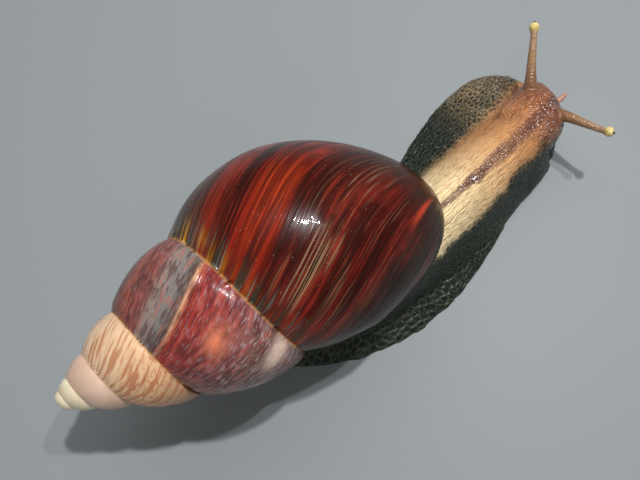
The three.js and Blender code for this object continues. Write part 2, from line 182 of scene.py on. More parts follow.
APEX = Vector((-89.4, -13.8, 35.0))
SHELL_LENGTH = 120.8
SHELL_HEADING = math.radians(3.9)
SHELL_DIP = math.radians(2.0)
SHELL_BEND = 1.2                           # the axis bows by this much
BASE_STARTS = 74.0                         # along the axis, where the base begins to lean
BASE_LEANS_RIGHT = 7.3
BASE_LEANS_DOWN = 6.0
WHORLS = 5.5
SEAM_AT_LIP = 0.5255                       # where the seam meets the lip, of the shell's length
SEAM_CLIMB = 0.6289                        # how fast it nears the apex, per turn
SEAM_AT_APEX = 0.0295
SEAM_RADIUS = 0.2457                       # its distance from the axis at the lip, of the length
SEAM_DRAWN_IN = 0.2825                     # part of that taken off at the lip
SEAM_TIGHTENING = 0.4715                   # how fast the distance shrinks over the last whorl
SEAM_CROWDING = 0.0844                     # and how much faster at its end
SPIRE_TIGHTENING = 0.53                    # the same on the spire, per turn
WHORL_FULLNESS = 0.03
LAST_WHORLS_FULLNESS = 0.025
LIP_ANGLE = 200.0
BODY_RADIUS = 25.8
BODY_TIGHTENING = 0.416
BODY_WIDEST = 85.1
BODY_WIDEST_DRIFT = 0.17
COLUMELLA_RADIUS = 4.0
COLUMELLA_START = 100.0
LIP_WALL = 1.2
LIP_ROLL = 0.25                            # part of the lip's sheet that rolls round the edge
LIP_DEPTH = 0.3                            # turns that the rest runs back inside
LIP_BULGE = 0.0035                         # turns that the rolled edge stands forward
LIP_COLUMNS = 16
COLUMNS_PER_TURN = 280
ROWS_PER_WHORL = 16
ROWS_OF_BASE = 70
VARIX_PLACE = 1.248                        # turns back from the lip of a past season's lip
VARIX_HEIGHT = 0.55
DIP_DEPTH = 0.2                            # of the dip beside it
LINE_HEIGHT = 0.1
WAVE_HEIGHT = 0.16
PUCKER_HEIGHT = 0.05
PUCKERS_PER_TURN = 60

SHELL_ALONG = Vector((math.cos(SHELL_DIP) * math.cos(SHELL_HEADING),
                      math.cos(SHELL_DIP) * math.sin(SHELL_HEADING), -math.sin(SHELL_DIP)))
SHELL_LEFT = Vector((-math.sin(SHELL_HEADING), math.cos(SHELL_HEADING), 0.0))
SHELL_UP = SHELL_ALONG.cross(SHELL_LEFT)


def suture(turns_back):
    """How far along the axis, and from it, the seam lies."""
    back = max(turns_back, 0.0)
    body = min(turns_back, 1.0)
    drawn_in = 1 - SEAM_DRAWN_IN * math.exp(-4 * back)
    along = SHELL_LENGTH * (SEAM_AT_LIP * math.exp(-SEAM_CLIMB * turns_back) + SEAM_AT_APEX)
    tightened = math.exp(-SEAM_TIGHTENING * body - SEAM_CROWDING * body * min(back, 1.0))
    radius = SHELL_LENGTH * SEAM_RADIUS * tightened * drawn_in
    return along, radius * math.exp(-SPIRE_TIGHTENING * max(turns_back - 1.0, 0.0))


def whorl_radius(turns_back, fraction):
    along_0, radius_0 = suture(turns_back)
    along_1, radius_1 = suture(turns_back - 1)
    chord = math.hypot(radius_1 - radius_0, along_1 - along_0)
    rise = math.sin(math.pi / 2 * fraction) ** 0.8
    younger = 1 - smoothstep(turns_back, 1.5, 2.2)
    swelling = (1 + math.cos(2 * math.pi * (turns_back - 0.05))) * younger
    fullness = WHORL_FULLNESS + LAST_WHORLS_FULLNESS * swelling
    return lerp(radius_0, radius_1, rise) + fullness * chord * max(0.0, math.sin(math.pi * fraction)) ** 0.45


def inner_radius(turns_back, along):
    along_0, along_1 = suture(turns_back + 1)[0], suture(turns_back)[0]
    fraction = clamp((along - along_0) / (along_1 - along_0))
    return lerp(whorl_radius(turns_back + 1, fraction), COLUMELLA_RADIUS,
                smoothstep(along, along_1, COLUMELLA_START))


def outer_radius(turns_back, along):
    seam_along, seam_radius = suture(turns_back)
    widest = BODY_WIDEST * math.exp(-BODY_WIDEST_DRIFT * turns_back)
    radius = BODY_RADIUS * math.exp(BODY_TIGHTENING * turns_back)
    if along < widest:
        return radius - (radius - seam_radius) * (max(0.0, widest - along) / (widest - seam_along)) ** 2.69
    fullness = lerp(1.115, 2.21, smoothstep(turns_back, 0.15, 0.5))
    reach = clamp((along - widest) / (SHELL_LENGTH - widest))
    return radius * math.sqrt(max(0.0, 1 - reach ** fullness))


def body_radius(turns_back, along):
    outer = outer_radius(turns_back, along)
    inner = min(inner_radius(turns_back - 1, along), outer)
    return lerp(outer, inner, smoothstep(turns_back, 0.48, 0.88))


def shell_point(turns_back, along, radius):
    angle = math.radians(LIP_ANGLE - 360 * turns_back)
    bend = SHELL_BEND * math.sin(math.pi * clamp(along / SHELL_LENGTH)) ** 2
    to_base = smoothstep(along, BASE_STARTS, SHELL_LENGTH)
    return (APEX + SHELL_ALONG * along
            + SHELL_LEFT * (radius * math.cos(angle) - BASE_LEANS_RIGHT * to_base - bend)
            + SHELL_UP * (radius * math.sin(angle) - BASE_LEANS_DOWN * to_base))


def growth_relief(growth, across, size):
    """Height in mm of the growth lines, puckered just below the seam, and of the old lip on the spire."""
    lines = noise.noise(Vector((growth * 95, across * 1.3, 3.1))) * 0.55
    lines += noise.noise(Vector((growth * 240, across * 2.0, 8.7))) * 0.35
    coarse = noise.noise(Vector((growth * 22, across * 0.8, 5.5)))
    pucker = math.exp(-across * 14) * math.sin(growth * 2 * math.pi * PUCKERS_PER_TURN + 2 * coarse)
    varix, dip = 0.0, 0.0
    if growth > 1.1:
        varix = math.exp(-((growth - VARIX_PLACE) / 0.0075) ** 2)
        dip = math.exp(-((growth - VARIX_PLACE + 0.02) / 0.012) ** 2)
    return size * (LINE_HEIGHT * lines + WAVE_HEIGHT * coarse + PUCKER_HEIGHT * pucker
                   + VARIX_HEIGHT * varix - DIP_DEPTH * dip)


def body_along(turns_back, v):
    """Rows of the last whorl: the first lie between its seams, the others run on to the base."""
    start = suture(turns_back)[0]
    middle = lerp(BODY_WIDEST + 2, suture(0)[0], turns_back)
    row = v * (ROWS_PER_WHORL + ROWS_OF_BASE)
    if row <= ROWS_PER_WHORL:
        return lerp(start, middle, row / ROWS_PER_WHORL)
    return lerp(middle, SHELL_LENGTH, math.sin((row - ROWS_PER_WHORL) / ROWS_OF_BASE * math.pi / 2))


def body_across(turns_back, v):
    start = suture(turns_back)[0]
    return (body_along(turns_back, v) - start) / (SHELL_LENGTH - start)


def body_uv(u, v):
    across = body_across(1 - u, v)
    return 1 - u - 0.22 * across, across


def body_place(u, v):
    back = 1 - u
    along = body_along(back, v)
    growth, across = body_uv(u, v)
    fade = smoothstep(v, 0.0, 0.02) * (1 - smoothstep(v, 0.9, 1.0)) * (1 - smoothstep(back, 0.5, 0.8))
    radius = 0.0 if v > 0.9999 else body_radius(back, along) + fade * growth_relief(growth, across, 1.0)
    return shell_point(back, along, radius)


def spire_uv(u, v):
    back = lerp(WHORLS, 1.0, u)
    return back - 0.1 * v, 0.36 * v


def spire_place(u, v):
    back = lerp(WHORLS, 1.0, u)
    along_0, along_1 = suture(back)[0], suture(back - 1)[0]
    growth, across = spire_uv(u, v)
    size = math.exp(-0.45 * (back - 1)) * (1 - smoothstep(back, 3.0, 3.8))
    fade = smoothstep(v, 0.0, 0.08) * (1 - smoothstep(v, 0.9, 1.0)) * smoothstep(back, 1.0, 1.05)
    radius = whorl_radius(back, v) + fade * growth_relief(growth, across, size)
    return shell_point(back, lerp(along_0, along_1, v), radius)


def lip_inside(u, v):
    """From the lip's edge round into the aperture, and back along the outer wall's inner face."""
    if u == 0.0:
        return body_place(1.0, v)
    turn = min(1.0, u / LIP_ROLL)
    back = lerp(0.0, LIP_DEPTH, max(0.0, u - LIP_ROLL) / (1 - LIP_ROLL))
    along = body_along(0.0, v)
    outside = outer_radius(back, along)
    inner = min(inner_radius(back, along) + 0.3, outside)
    fade = smoothstep(v, 0.0, 0.06) * (1 - smoothstep(v, 0.94, 1.0))
    wall = LIP_WALL * fade * (1 - math.cos(math.pi * turn)) / 2
    forward = LIP_BULGE * fade * math.sin(math.pi * turn)
    radius = lerp(max(outside - wall, inner), inner, smoothstep(u, 0.8, 1.0))
    return shell_point(back - forward, along, 0.0 if v > 0.9999 else radius)


def lip_uv(u, v):
    return -0.02, body_across(0, v)


def make_shell(material):
    bm = bmesh.new()
    layer = bm.loops.layers.uv.new("Growth")
    spire_columns = round((WHORLS - 1) * COLUMNS_PER_TURN)
    body_rows = ROWS_PER_WHORL + ROWS_OF_BASE
    rolled_grid(bm, spire_columns, ROWS_PER_WHORL, spire_place, spire_uv, layer)
    rolled_grid(bm, COLUMNS_PER_TURN, body_rows, body_place, body_uv, layer)
    rolled_grid(bm, LIP_COLUMNS, body_rows, lip_inside, lip_uv, layer)
    bmesh.ops.remove_doubles(bm, verts=bm.verts, dist=WELD)
    bmesh.ops.holes_fill(bm, edges=[e for e in bm.edges if e.is_boundary], sides=0)
    bmesh.ops.recalc_face_normals(bm, faces=bm.faces)
    return finish_piece("shell_polished", bm, material)


# scales of the patterns, in counts per metre
CLOUDS = 95.0                              # 10 mm across
SPECKS = 1500.0                            # 0.7 mm apart
SPECK_PATCHES = 60.0                       # 17 mm across
POLISH_DIMPLES = 900.0                     # 1.1 mm apart


def shell_material():
    # Snail shell: chalk under a thin horny film, worn smooth and kept wet. It gives crimson brown under a
    # clear gloss, with dark and cream growth streaks.
    s = Shader("polished_shell")
    place = s.add("uv_map", uv_map="Growth")
    growth, across, _ = s.add("parts", place)
    wander = s.add("noise", s.add("point", s.add("times", growth, 4.0), s.add("times", across, 2.4)),
                   Detail=1.0)
    warped = s.add("plus", growth, s.add("times", s.add("minus", wander, 0.5), 0.016))

    def streaks(around, down, seed, detail=2.0):
        """Growth streaks, so many to a turn. A turn of the last whorl is about 160 mm round."""
        where = s.add("point", s.add("times", warped, around), s.add("times", across, down), seed)
        return s.add("noise", where, Detail=detail)

    broad = streaks(15.0, 1.1, 1.0, 3.0)
    middle = streaks(60.0, 1.5, 4.0, 4.0)
    fine = streaks(230.0, 3.2, 7.0, 3.0)
    here = s.add("here")
    cloud = s.add("noise", here, CLOUDS, 4.0, 0.6)

    # the last whorl's seasons, from the lip backwards
    body = s.add("ramp", warped, stops=[
        (0.0, "#1f170e"), (0.035, "#33190f"), (0.06, "#64150f"), (0.09, "#480e0a"), (0.115, "#400d0a"),
        (0.135, "#6e1712"), (0.165, "#6b1a13"), (0.19, "#5c241a"), (0.215, "#58160f"), (0.24, "#430f0a"),
        (0.28, "#8c2411"), (0.315, "#5e140c"), (0.335, "#3c130b"), (0.37, "#6d2415"), (0.42, "#3e2412"),
        (0.5, "#3a3320"), (1.0, "#5a2a20"),
    ])
    body = s.add("mix", s.add("band", broad, 0.5, 0.62, 0.0, 0.6), body, "#260d09")
    body = s.add("mix", s.add("band", broad, 0.34, 0.46, 0.55, 0.0), body, "#7e1a10")
    body = s.add("mix", s.add("band", middle, 0.51, 0.6, 0.0, 0.65), body, "#1f0b07")
    body = s.add("mix", s.add("band", middle, 0.34, 0.44, 0.5, 0.0), body, "#8a2214")
    body = s.add("mix", s.add("band", cloud, 0.48, 0.62, 0.0, 0.6), body, "#2c0c09")
    body = s.add("mix", s.add("band", fine, 0.52, 0.62, 0.0, 0.6), body, "#200b07")
    body = s.add("mix", s.add("band", fine, 0.34, 0.43, 0.4, 0.0), body, "#8c2c1a")
    # painted shade: the last whorl darkens towards the base, where it turns away from the light
    body = s.add("mix", s.add("band", across, 0.58, 0.9, 0.0, 0.85), body, "#24130b")
    glow = s.add("times", s.ridge(warped, 0.285, 0.04), s.ridge(across, 0.36, 0.28))
    glow = s.add("times", glow, s.add("band", cloud, 0.35, 0.55, 0.45, 1.0))
    body = s.add("mix", s.add("times", glow, s.add("band", middle, 0.4, 0.6, 0.8, 0.3)), body, "#9c3012")
    body = s.add("mix", s.add("times", glow, s.add("band", fine, 0.4, 0.52, 0.45, 0.0)), body, "#b84216")
    body = s.add("mix", s.add("times", glow, s.add("band", fine, 0.52, 0.6, 0.0, 0.5)), body, "#3c0f08")
    shaded = s.add("times", s.add("band", warped, 0.05, 0.13, 0.85, 0.0),
                   s.add("band", across, 0.5, 0.75, 1.0, 0.0))
    body = s.add("mix", shaded, body, "#130c06")
    ember = s.add("times", s.ridge(warped, 0.078, 0.012), s.ridge(across, 0.82, 0.14))
    body = s.add("mix", ember, body, "#b03a1e")
    # ochre flames below the seam
    flames = s.add("times", s.add("band", across, 0.015, 0.1, 1.0, 0.0),
                   s.add("band", middle, 0.4, 0.5, 1.0, 0.0))
    flames = s.add("times", flames, s.add("band", warped, 0.25, 0.42, 0.15, 0.9))
    body = s.add("mix", flames, body, "#a8781e")
    shade = s.add("band", across, 0.0, 0.14, 0.75, 0.0)
    body = s.add("mix", s.add("times", shade, s.add("band", middle, 0.47, 0.56)), body, "#33362a")
    body = s.add("mix", s.add("times", shade, s.add("band", fine, 0.56, 0.62, 0.0, 0.6)), body, "#7d8a80")

    # the whorl before it, with the old lip: a thin cream line, partly its own pale colour and partly painted
    # highlight, with a painted shadow in the dark stop just behind it
    before = s.add("ramp", s.add("minus", warped, 1.0),
                   stops=[(0.0, "#4a4440"), (0.04, "#7c6a66"), (0.09, "#6a5048"), (0.13, "#80504c"),
                          (0.18, "#863a36"), (0.225, "#8a302a"), (0.24, "#7c3026"), (0.2445, "#c08058"),
                          (0.2475, "#cda184"), (0.2505, "#4b3a30"), (0.27, "#6c6a66"), (0.305, "#86766e"),
                          (0.33, "#7c4640"), (0.385, "#8c4430"), (0.44, "#5a2c26"), (0.5, "#54403c"),
                          (1.0, "#a87c5c")])
    short = streaks(120.0, 14.0, 9.0, 4.0)
    before = s.add("mix", s.add("band", middle, 0.5, 0.62, 0.0, 0.5), before, "#48201e")
    before = s.add("mix", s.add("band", short, 0.5, 0.6, 0.0, 0.6), before, "#4a2428")
    before = s.add("mix", s.add("band", short, 0.36, 0.46, 0.55, 0.0), before, "#a4544a")
    before = s.add("mix", s.add("band", cloud, 0.5, 0.64, 0.0, 0.5), before, "#44302e")
    worn_grey = s.add("times", s.add("band", streaks(300.0, 30.0, 5.0, 3.0), 0.54, 0.62),
                      s.add("band", warped, 1.08, 1.2, 1.0, 0.35))
    before = s.add("mix", s.add("times", worn_grey, 0.7), before, "#a29092")
    pale_patch = s.add("times", s.ridge(warped, 1.062, 0.028), s.ridge(across, 0.31, 0.1))
    pale_patch = s.add("times", pale_patch, s.add("band", cloud, 0.3, 0.5, 0.6, 1.0))
    before = s.add("mix", pale_patch, before, "#e8cab8")
    spot = s.add("times", s.ridge(warped, 1.168, 0.035), s.ridge(across, 0.205, 0.09))
    before = s.add("mix", s.add("times", spot, s.add("band", cloud, 0.4, 0.6, 1.0, 0.3)), before, "#d87c58")

    # the spire: cream with orange-brown flames, then pinkish, then a bare pale tip
    spire = s.add("ramp", s.add("over", s.add("minus", warped, 2.0), 3.5),
                  stops=[(0.0, "#a4805f"), (0.03, "#cba27c"), (0.06, "#d2b08c"), (0.12, "#d6ba9c"),
                         (0.17, "#a98a70"), (0.28, "#b0927f"), (0.32, "#c8aa98"), (0.42, "#c4a594"),
                         (0.5, "#c2b098"), (0.56, "#d0c8aa"), (1.0, "#d8d0b6")])
    upper = s.add("band", warped, 2.8, 3.1, 1.0, 0.0)
    flamed = s.add("times", upper, s.add("band", streaks(74.0, 4.0, 4.0, 3.0), 0.48, 0.6, 0.0, 0.75))
    spire = s.add("mix", flamed, spire, "#a2623f")
    spire = s.add("mix", s.add("band", cloud, 0.45, 0.65, 0.0, 0.3), spire, "#a88a70")
    net = s.add("noise", s.add("point", s.add("times", warped, 75.0), s.add("times", across, 32.0), 2.0),
                Detail=3.0, Distortion=0.6)
    net = s.add("times", s.add("band", net, 0.5, 0.6), s.ridge(warped, 2.12, 0.14))
    spire = s.add("mix", s.add("times", net, 0.7), spire, "#ac6a46")

    colour = s.add("mix", s.add("band", warped, 0.96, 1.02), body, before)
    colour = s.add("mix", s.add("band", warped, 1.92, 2.02), colour, spire)

    # thin cream and grey lines where the surface is worn along a growth line
    worn = s.add("times", s.add("band", streaks(480.0, 2.0, 13.0, 3.0), 0.55, 0.6),
                 s.add("band", streaks(70.0, 3.0, 11.0), 0.42, 0.54))
    seasons = s.add("plus", s.ridge(warped, 0.195, 0.05), s.add("times", s.ridge(warped, 0.11, 0.13), 0.3))
    worn = s.add("times", worn, seasons, use_clamp=True)
    worn = s.add("times", worn, s.add("times", s.add("band", across, 0.05, 0.12),
                                      s.add("band", across, 0.6, 0.8, 1.0, 0.2)))
    colour = s.add("mix", s.add("times", worn, 0.7), colour, "#947c5c")

    # pale threads along the seam, and its dark groove on the tip
    whorl = s.add("band", growth, 0.98, 1.0)
    at_seam = s.add("larger", s.add("band", across, 0.0, 0.01, 1.0, 0.0),
                    s.add("times", whorl, s.add("band", across, 0.352, 0.36)))
    seam = s.add("mix", s.add("band", growth, 2.6, 3.0), "#b98a52", "#4a3020")
    colour = s.add("mix", s.add("times", at_seam, s.add("band", middle, 0.3, 0.6, 0.6, 0.35)), colour, seam)

    # dull specks and pits
    specks = s.add("times", s.add("band", s.add("noise", here, SPECKS, 1.0), 0.7, 0.78),
                   s.add("band", s.add("noise", here, SPECK_PATCHES), 0.45, 0.6))
    colour = s.add("mix", s.add("times", specks, 0.3), colour, "#a98a78")

    rough = s.add("band", middle, 0.35, 0.7, 0.2, 0.34)
    rough = s.add("plus", rough, s.add("times", s.add("plus", worn, specks, use_clamp=True), 0.2))
    rough = s.add("larger", rough, s.add("times", at_seam, 0.6))
    height = s.add("plus", s.add("times", fine, 0.6), s.add("times", middle, 0.8))
    height = s.add("minus", height, s.add("times", specks, 0.4))
    s.feed(s.surface.inputs["Base Color"], colour)
    s.feed(s.surface.inputs["Roughness"], rough)
    clear = s.add("times", s.add("band", at_seam, 0.0, 0.5, 0.28, 0.0),
                  s.add("band", shaded, 0.0, 1.0, 1.0, 0.35))
    clear = s.add("times", clear, s.add("band", across, 0.5, 0.85, 1.0, 0.3))
    s.feed(s.surface.inputs["Coat Weight"], clear)
    s.feed(s.surface.inputs["Coat Roughness"], 0.05)
    s.feed(s.surface.inputs["Specular IOR Level"], 0.12)
    glints = s.add("plus", fine, s.add("times", s.add("noise", here, POLISH_DIMPLES, 2.0), 0.5))
    glints = s.add("times", glints, s.add("band", growth, 0.98, 1.0, 1.0, 2.4))
    s.feed(s.surface.inputs["Coat Normal"], s.add("bump", glints, 0.5, 0.00012))
    s.feed(s.surface.inputs["Normal"], s.add("bump", height, 0.6, 0.00025))
    return s.material


shell = make_shell(shell_material())
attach(shell, "root")
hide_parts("shell")


# ---- flesh: one skin over foot, column, neck, head, feelers, mouth and mantle ----

SOLE_MIDLINE = [(-52, -11), (-32, -17), (-12, -21), (5, -21.5), (22, -19),
                (38, -12.5), (52, -4.5), (66, 2), (80, 5), (92.5, 6.3)]
SOLE_HALF_WIDTH = 20.5
TAIL_PART = 0.45
FRONT_PART = 0.12
EDGE_HEIGHT = 2.6
BACK_HEIGHT = 6.5

# x, y, half-width, height of the arched neck and the column under the shell
NECK_STATIONS = [
    (-36, -18.6, 3, 6.6), (-27, -19, 7.5, 11), (-18, -19.3, 11, 20), (-9, -19.5, 13, 30),
    (2, -19.5, 14.5, 33), (14, -18.5, 14.5, 32), (24, -16.5, 13, 27), (33, -14.4, 12, 23.8),
    (47, -11.4, 11.4, 23.6), (60, -8.2, 10.8, 22.4), (70, -5.6, 10.4, 20.6), (77, -3.6, 9.8, 18.5),
]
HEAD_BACK = Vector((71.5, -5.0, 11.6))
HEAD_FRONT = Vector((90.6, 2.4, 8.2))
HEAD_HALF_WIDTH = 10.4
HEAD_HALF_HEIGHT = 8.9
BULB_RADIUS = 1.65
EYE_RADIUS = 0.5
EYE_SUNK = 0.3

UPPER_TENTACLES = {
    "left": [(80.6, 3.2, 13.5), (82.4, 7.2, 17.6), (85.6, 12.8, 21.2), (88.6, 17.8, 24.4),
             (90.9, 21.6, 26.6)],
    "right": [(83.6, -3.2, 13.0), (85.2, -7.8, 17.4), (87.0, -12.8, 19.8), (88.9, -17.6, 21.8),
              (90.5, -21.6, 24.2)],
}
LOWER_TENTACLES = {
    "left": [(88.4, 7.2, 4.8), (90.6, 8.8, 3.6), (92.2, 10.0, 3.2), (93.4, 10.8, 3.4)],
    "right": [(88.4, 0.4, 6.8), (92.4, 0.6, 6.6), (95.4, 1.0, 6.8), (97.6, 1.4, 7.4)],
}
MOUTH_LOBES = {"left": (90.6, 6.4, 4.6), "right": (90.2, 0.2, 4.6)}
MOUTH_LOBE_RADII = (2.6, 2.2, 2.4)
FUSING_VOXEL = 0.9
SKIN_VOXEL = 0.42
FOLD_DEPTH = 0.22
CELL_WIDTH = 1.2
CELL_DEPTH = 0.13
STALKS_BEHIND = 76.0                       # the stalks lie in front of this and above the next
STALKS_BELOW = 8.0
FEELERS_BEHIND = 90.0
FLOOR_MARGIN = 0.05                        # skin below this stays flat
LOWEST_FOLD = 0.02

# the line that the skin's rows follow, from the tail tip to the mouth
BODY_LINE = [(-52, -11), (-32, -17), (-12, -20), (5, -20.5), (24, -16.5), (33, -14.4), (47, -11.4),
             (60, -8.2), (70, -5.6), (80, -2.6), (94, 1.8)]


class Path:
    """A smooth curve measured by its length."""

    def __init__(self, points, samples=160):
        self.places = [Vector(list(curve_point(points, i / samples)) + [0.0] * (3 - len(points[0])))
                       for i in range(samples + 1)]
        self.lengths = [0.0]
        for a, b in zip(self.places, self.places[1:]):
            self.lengths.append(self.lengths[-1] + (b - a).length)
        self.length = self.lengths[-1]

    def at(self, reach):
        """The point and the heading at this part of the length."""
        wanted = clamp(reach) * self.length
        low, high = 0, len(self.lengths) - 1
        while high - low > 1:
            middle = (low + high) // 2
            if self.lengths[middle] <= wanted:
                low = middle
            else:
                high = middle
        a, b = self.places[low], self.places[low + 1]
        f = (wanted - self.lengths[low]) / max(1e-9, self.lengths[low + 1] - self.lengths[low])
        return a.lerp(b, f), (b - a).normalized()


sole_path = Path(SOLE_MIDLINE)
body_path = Path(BODY_LINE)


def sole_half_width(station):
    tail = math.sin(math.pi / 2 * min(1.0, station / TAIL_PART)) ** 0.9
    reach = clamp((station - (1 - FRONT_PART)) / FRONT_PART)
    return SOLE_HALF_WIDTH * tail * math.sqrt(max(0.0, 1 - reach * reach))


def power(value, exponent):
    return math.copysign(abs(value) ** exponent, value)


def foot_place(u, v):
    """Foot: a low cushion with a thin edge. Its lower half runs below the floor and is cut off later."""
    station = lerp(0.003, 0.999, v)
    centre, heading = sole_path.at(station)
    left = Vector((-heading.y, heading.x, 0.0))
    turn = 2 * math.pi * u
    side, up = power(math.cos(turn), 0.8), math.sin(turn)
    half = sole_half_width(station) * (0.0 if v in (0.0, 1.0) else 1.0)
    ripple = noise.noise(Vector((station * 34, 5.0 if side > 0 else 9.0, 0.0))) * 0.5 * min(1.0, half / 10)
    edge = EDGE_HEIGHT * lerp(0.45, 1.0, min(1.0, half / 8))
    back = lerp(edge, BACK_HEIGHT, smoothstep(half, 3, 16))
    top = edge + (back - edge) * (1 - abs(side) ** 2.2)
    height = top * abs(up) ** 0.6 if up > 0 else -3.0 * abs(up)
    return centre + left * (side * (half + ripple)) + Vector((0, 0, height))


def neck_place(u, v):
    turn = 2 * math.pi * u
    x, y, half, height = curve_point(NECK_STATIONS, v)
    heading = curve_heading(NECK_STATIONS, v)
    left = Vector((-heading.y, heading.x, 0.0))
    ends = 0.0 if v in (0.0, 1.0) else 1.0
    up = math.sin(turn)
    flare = 1 + 0.4 * (1 - clamp(up)) ** 3 * smoothstep(x, 10, 34)
    side = half * flare * power(math.cos(turn), 0.94) * ends
    rise = (height - 2.5) * abs(up) ** 0.94 if up > 0 else -3.5 * abs(up)
    return Vector((x, y, 2.5 + (rise if ends else (height - 2.5) * 0.4))) + left * side


head_forward = HEAD_FRONT - HEAD_BACK
head_forward.z = 0
head_forward.normalize()
head_left = Vector((-head_forward.y, head_forward.x, 0.0))


def head_place(u, v):
    """A blunt muzzle, fuller at the brow, with cheeks under the eye stalks."""
    turn = 2 * math.pi * u
    blunt = math.sqrt(max(0.0, 1 - v ** 5.0))
    if v < 0.001:
        blunt = 0.0
    centre = HEAD_BACK.lerp(HEAD_FRONT, v) + Vector((0, 0, 0.9 * math.sin(math.pi * v)))
    brow = 0.7 * math.exp(-((v - 0.55) / 0.2) ** 2) * max(0.0, math.sin(turn)) ** 2
    side = HEAD_HALF_WIDTH * blunt * power(math.cos(turn), 0.9)
    centre += head_forward * (0.5 * side * v * v)
    rise = HEAD_HALF_HEIGHT * blunt * math.sin(turn) + brow * blunt
    return centre + head_left * side + Vector((0, 0, rise))


def plug_place(u, v):
    """The mantle's fleshy edge, which fills the aperture just inside the lip."""
    back = lerp(0.004, 0.13, clamp((v - 0.15) / 0.85))
    samples = clamp(2 * u if u < 0.5 else 2 - 2 * u)
    along = lerp(suture(back)[0] + 5, SHELL_LENGTH - 3.5, samples)
    inner = inner_radius(back, along) - 0.5
    outer = max(outer_radius(back, along) - LIP_WALL - 0.25, inner + 0.2)
    radius = outer if u < 0.5 else inner
    blend = smoothstep(v, 0.0, 0.15) if v < 0.5 else 1 - smoothstep(v, 0.98, 1.0)
    return shell_point(back, along, lerp((inner + outer) / 2, radius, blend))


def tube_place(path, radius_at):
    def place(u, v):
        centre, heading = path.at(v)
        side = heading.cross(Vector((0, 0, 1))).normalized()
        up = side.cross(heading)
        turn = 2 * math.pi * u
        radius = radius_at(v) * (0.0 if v in (0.0, 1.0) else 1.0)
        return centre + side * (radius * math.cos(turn)) + up * (radius * math.sin(turn))
    return place


def upper_radius(reach):
    flare = 2.0 * math.exp(-reach / 0.12)
    stalk = lerp(2.3, 1.1, min(1.0, reach / 0.8) ** 0.7) + flare
    bulb = BULB_RADIUS * math.sqrt(max(0.02, 1 - ((reach - 0.93) / 0.072) ** 2))
    return stalk if reach < 0.865 else max(bulb, stalk if reach < 0.95 else 0.0)


def lower_radius(reach):
    return lerp(1.35, 0.85, reach) * math.sqrt(max(0.04, 1 - reach ** 8))


def tube(bm, place, columns, rows):
    made = rolled_grid(bm, columns, rows, place)
    bmesh.ops.remove_doubles(bm, verts=made, dist=1e-3)


def remeshed(bm, voxel, passes, levels=0):
    """Fuses the overlapping bodies into one surface and softens it."""
    bmesh.ops.recalc_face_normals(bm, faces=bm.faces)
    mesh = bpy.data.meshes.new("fusing")
    bm.to_mesh(mesh)
    bm.free()
    lump = bpy.data.objects.new("fusing", mesh)
    bpy.context.scene.collection.objects.link(lump)
    remesh = lump.modifiers.new("fuse", "REMESH")
    remesh.mode = "VOXEL"
    remesh.voxel_size = voxel
    soften = lump.modifiers.new("soften", "SMOOTH")
    soften.factor = 0.5
    soften.iterations = passes
    if levels:
        finer = lump.modifiers.new("finer", "SUBSURF")
        finer.levels = finer.render_levels = levels
    ready = lump.evaluated_get(bpy.context.evaluated_depsgraph_get())
    result = bmesh.new()
    result.from_mesh(ready.to_mesh())
    ready.to_mesh_clear()
    bpy.data.objects.remove(lump)
    return result


def make_body():
    bm = bmesh.new()
    tube(bm, foot_place, 64, 110)
    tube(bm, neck_place, 48, 60)
    tube(bm, head_place, 40, 30)
    tube(bm, plug_place, 60, 14)
    return remeshed(bm, FUSING_VOXEL, passes=7, levels=1)


def add_feelers(bm):
    """Eye stalks and lower feelers as tubes, and a mouth lobe as a ball, on each side."""
    heading = math.atan2(head_forward.y, head_forward.x)
    for side in ("left", "right"):
        tube(bm, tube_place(Path(UPPER_TENTACLES[side]), upper_radius), 20, 60)
        tube(bm, tube_place(Path(LOWER_TENTACLES[side]), lower_radius), 14, 24)
        lobe = bmesh.ops.create_uvsphere(bm, u_segments=20, v_segments=12, radius=1.0)["verts"]
        bmesh.ops.scale(bm, verts=lobe, vec=MOUTH_LOBE_RADII)
        bmesh.ops.rotate(bm, verts=lobe, matrix=Matrix.Rotation(heading, 3, "Z"))
        bmesh.ops.translate(bm, verts=lobe, vec=MOUTH_LOBES[side])


BODY_SAMPLES = 240
STALK_SAMPLES = 40
FEELER_SAMPLES = 20
body_samples = [body_path.at(i / BODY_SAMPLES) for i in range(BODY_SAMPLES + 1)]
stalk_samples = {side: [Path(points).at(i / STALK_SAMPLES)[0] for i in range(STALK_SAMPLES + 1)]
                 for side, points in UPPER_TENTACLES.items()}
feeler_samples = [Path(points).at(i / FEELER_SAMPLES)[0] for points in LOWER_TENTACLES.values()
                  for i in range(FEELER_SAMPLES + 1)]

# x and height of the back
BACK_LINE = [(-52, 1), (-36, 6), (-27, 11), (-18, 20), (-9, 30), (2, 33), (14, 32), (24, 27), (33, 23.8),
             (47, 23.6), (60, 22.4), (70, 20.6), (80, 20.0), (94, 10)]


def back_height(x):
    for (x0, h0), (x1, h1) in zip(BACK_LINE, BACK_LINE[1:]):
        if x < x1:
            return lerp(h0, h1, clamp((x - x0) / (x1 - x0)))
    return BACK_LINE[-1][1]


def place_on_body(point):
    """How far along the body's line the point lies, and how far across it, with left positive."""
    def away(i):
        return (body_samples[i][0].xy - point.xy).length_squared

    hint = min(range(0, BODY_SAMPLES + 1, 10), key=away)
    index = min(range(max(0, hint - 12), min(BODY_SAMPLES + 1, hint + 13)), key=away)
    centre, heading = body_samples[index]
    offset = point - centre
    along = index / BODY_SAMPLES * body_path.length + offset.x * heading.x + offset.y * heading.y
    across = -offset.x * heading.y + offset.y * heading.x
    return along, across


